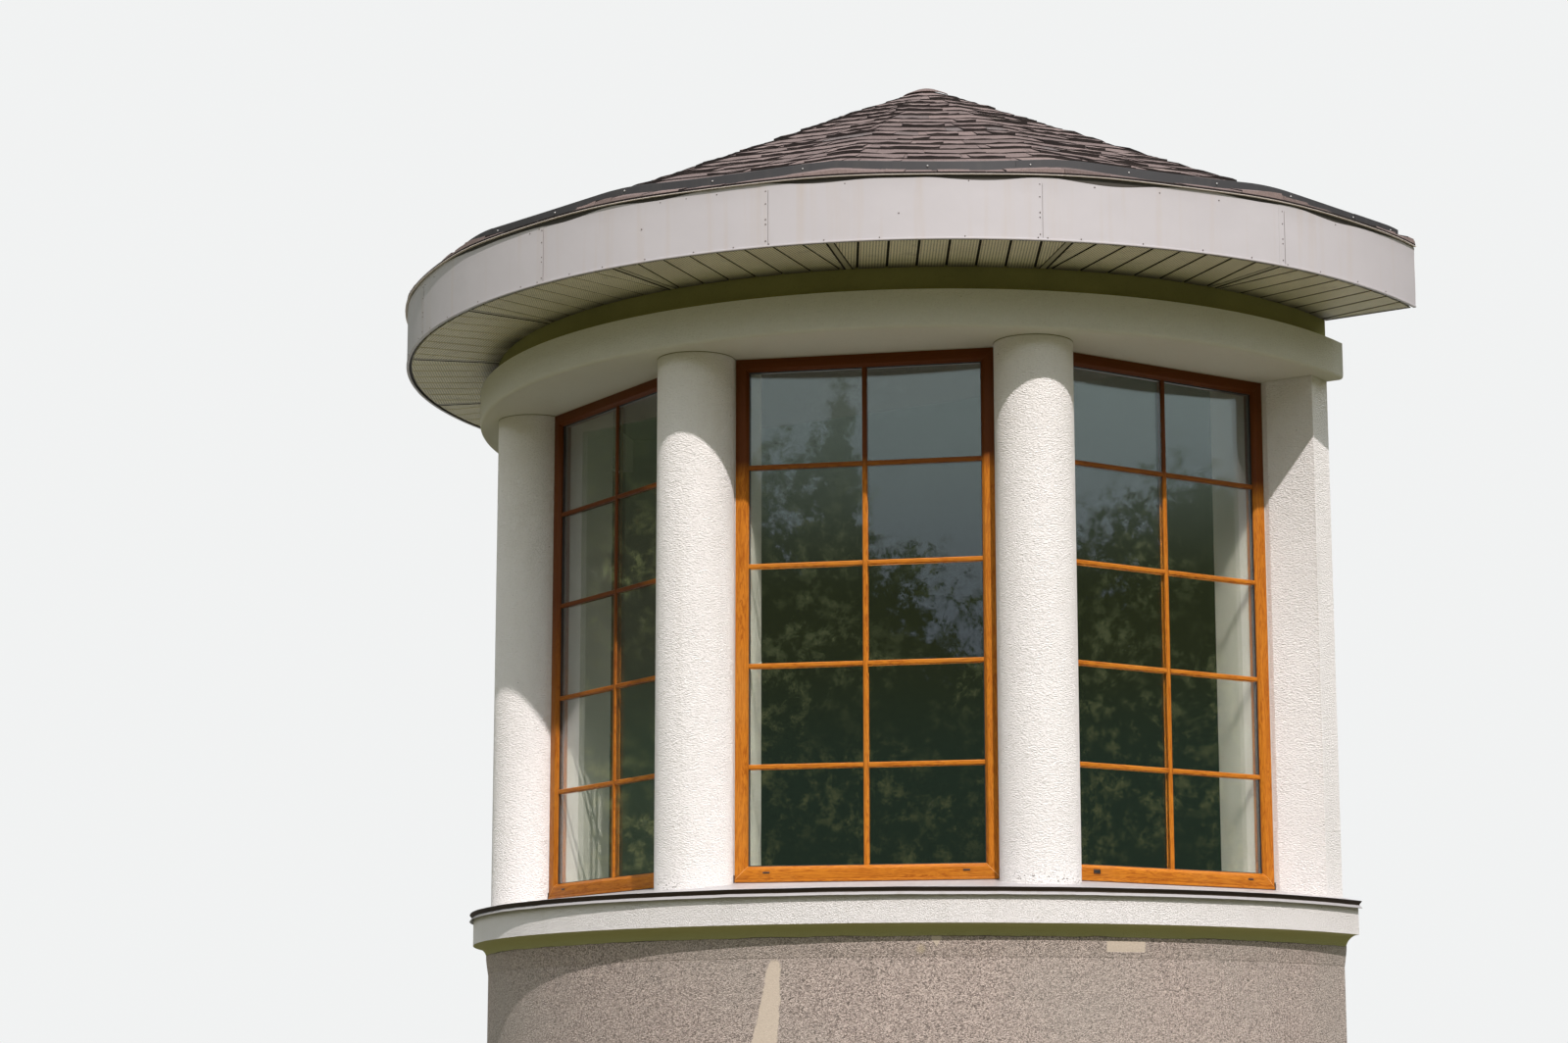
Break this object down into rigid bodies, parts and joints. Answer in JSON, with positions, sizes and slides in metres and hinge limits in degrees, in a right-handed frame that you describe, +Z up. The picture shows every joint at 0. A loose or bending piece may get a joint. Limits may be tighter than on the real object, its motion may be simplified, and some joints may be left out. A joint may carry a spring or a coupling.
{
  "type": "half-round bay window",
  "caption": "Half-round bay window with tall flat windows between round stucco columns, on a round plinth, under a faceted shingle roof with a curved fascia.",
  "frame": {"origin": "middle of the part's box at ground level", "axes": "+Z up, -Y away from the house, +X to the right as seen from the garden"},
  "size_m": [6.298, 3.149, 7.7949],
  "materials": {
    "plinth_render": "rough grey-brown pebble-dash render",
    "concrete": "plain concrete",
    "white_stucco": "rough white stucco",
    "flashing_sheet": "weathered light grey sheet",
    "oak_foil": "golden oak grained foil, satin",
    "window_glass": "clear double glazing",
    "board_white": "smooth white",
    "dark_band": "dark olive-brown painted render",
    "timber": "sawn softwood",
    "soffit_vinyl": "perforated taupe panel",
    "eave_timber": "dark sawn board",
    "fascia_sheet": "off-white coated sheet",
    "roofing": "mineral-faced shingles on boards",
    "guard_sheet": "dark grey coated sheet"
  },
  "bodies": {
    "root": {"plinth_left": "plinth_render", "plinth_front_left": "plinth_render", "plinth_front_right": "plinth_render", "plinth_right": "plinth_render", "floor_slab": "concrete", "ceiling_slab": "concrete", "ledge_left": "white_stucco", "ledge_front_left": "white_stucco", "ledge_front_right": "white_stucco", "ledge_right": "white_stucco", "column_left": "white_stucco", "column_middle": "white_stucco", "column_right": "white_stucco", "end_pier_left": "white_stucco", "end_pier_right": "white_stucco", "beam_left": "white_stucco", "beam_front_left": "white_stucco", "beam_front_right": "white_stucco", "beam_right": "white_stucco", "sill_flashing": "flashing_sheet", "frame_left": "oak_foil", "frame_front_left": "oak_foil", "frame_front_right": "oak_foil", "frame_right": "oak_foil", "glass_left": "window_glass", "glass_front_left": "window_glass", "glass_front_right": "window_glass", "glass_right": "window_glass", "window_boards": "board_white", "upper_wall_left": "dark_band", "upper_wall_front_left": "dark_band", "upper_wall_front_right": "dark_band", "upper_wall_right": "dark_band", "wall_plate": "timber", "rafters": "timber", "head_block": "timber", "soffit_bearers": "timber", "soffit": "soffit_vinyl", "eave_board": "eave_timber", "fascia": "fascia_sheet", "drip_edge": "fascia_sheet", "roof_deck_left": "roofing", "roof_deck_right": "roofing", "snow_guard": "guard_sheet"}
  },
  "joints": []
}
